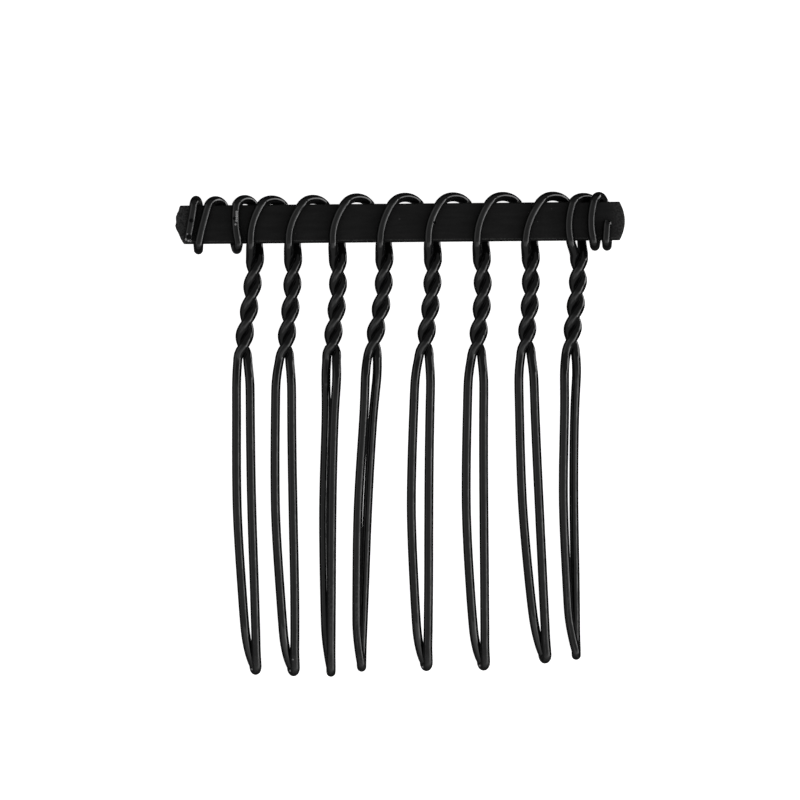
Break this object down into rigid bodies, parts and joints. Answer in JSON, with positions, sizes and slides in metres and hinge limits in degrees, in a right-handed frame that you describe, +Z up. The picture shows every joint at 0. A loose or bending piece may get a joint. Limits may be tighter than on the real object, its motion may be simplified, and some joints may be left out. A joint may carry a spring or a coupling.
{
  "type": "side comb",
  "caption": "Metal side comb: a flat bar wound with one wire that drops twisted hairpin prongs, each opened into a long narrow loop.",
  "frame": {"origin": "on the surface that the comb lies on, below the middle of its outline", "axes": "+X along the bar to the right as seen from the front, +Y from the prong tips to the bar, +Z up out of the front face"},
  "size_m": [0.051, 0.055, 0.0035],
  "materials": {
    "bar_coating": "matt black coating on flat steel strip, with a fine tooth and a few specks",
    "wire_coating": "smooth glossy black coating on drawn steel wire, nicked in a few places"
  },
  "bodies": {
    "root": {"bar": "bar_coating", "wire": "wire_coating"}
  },
  "joints": []
}
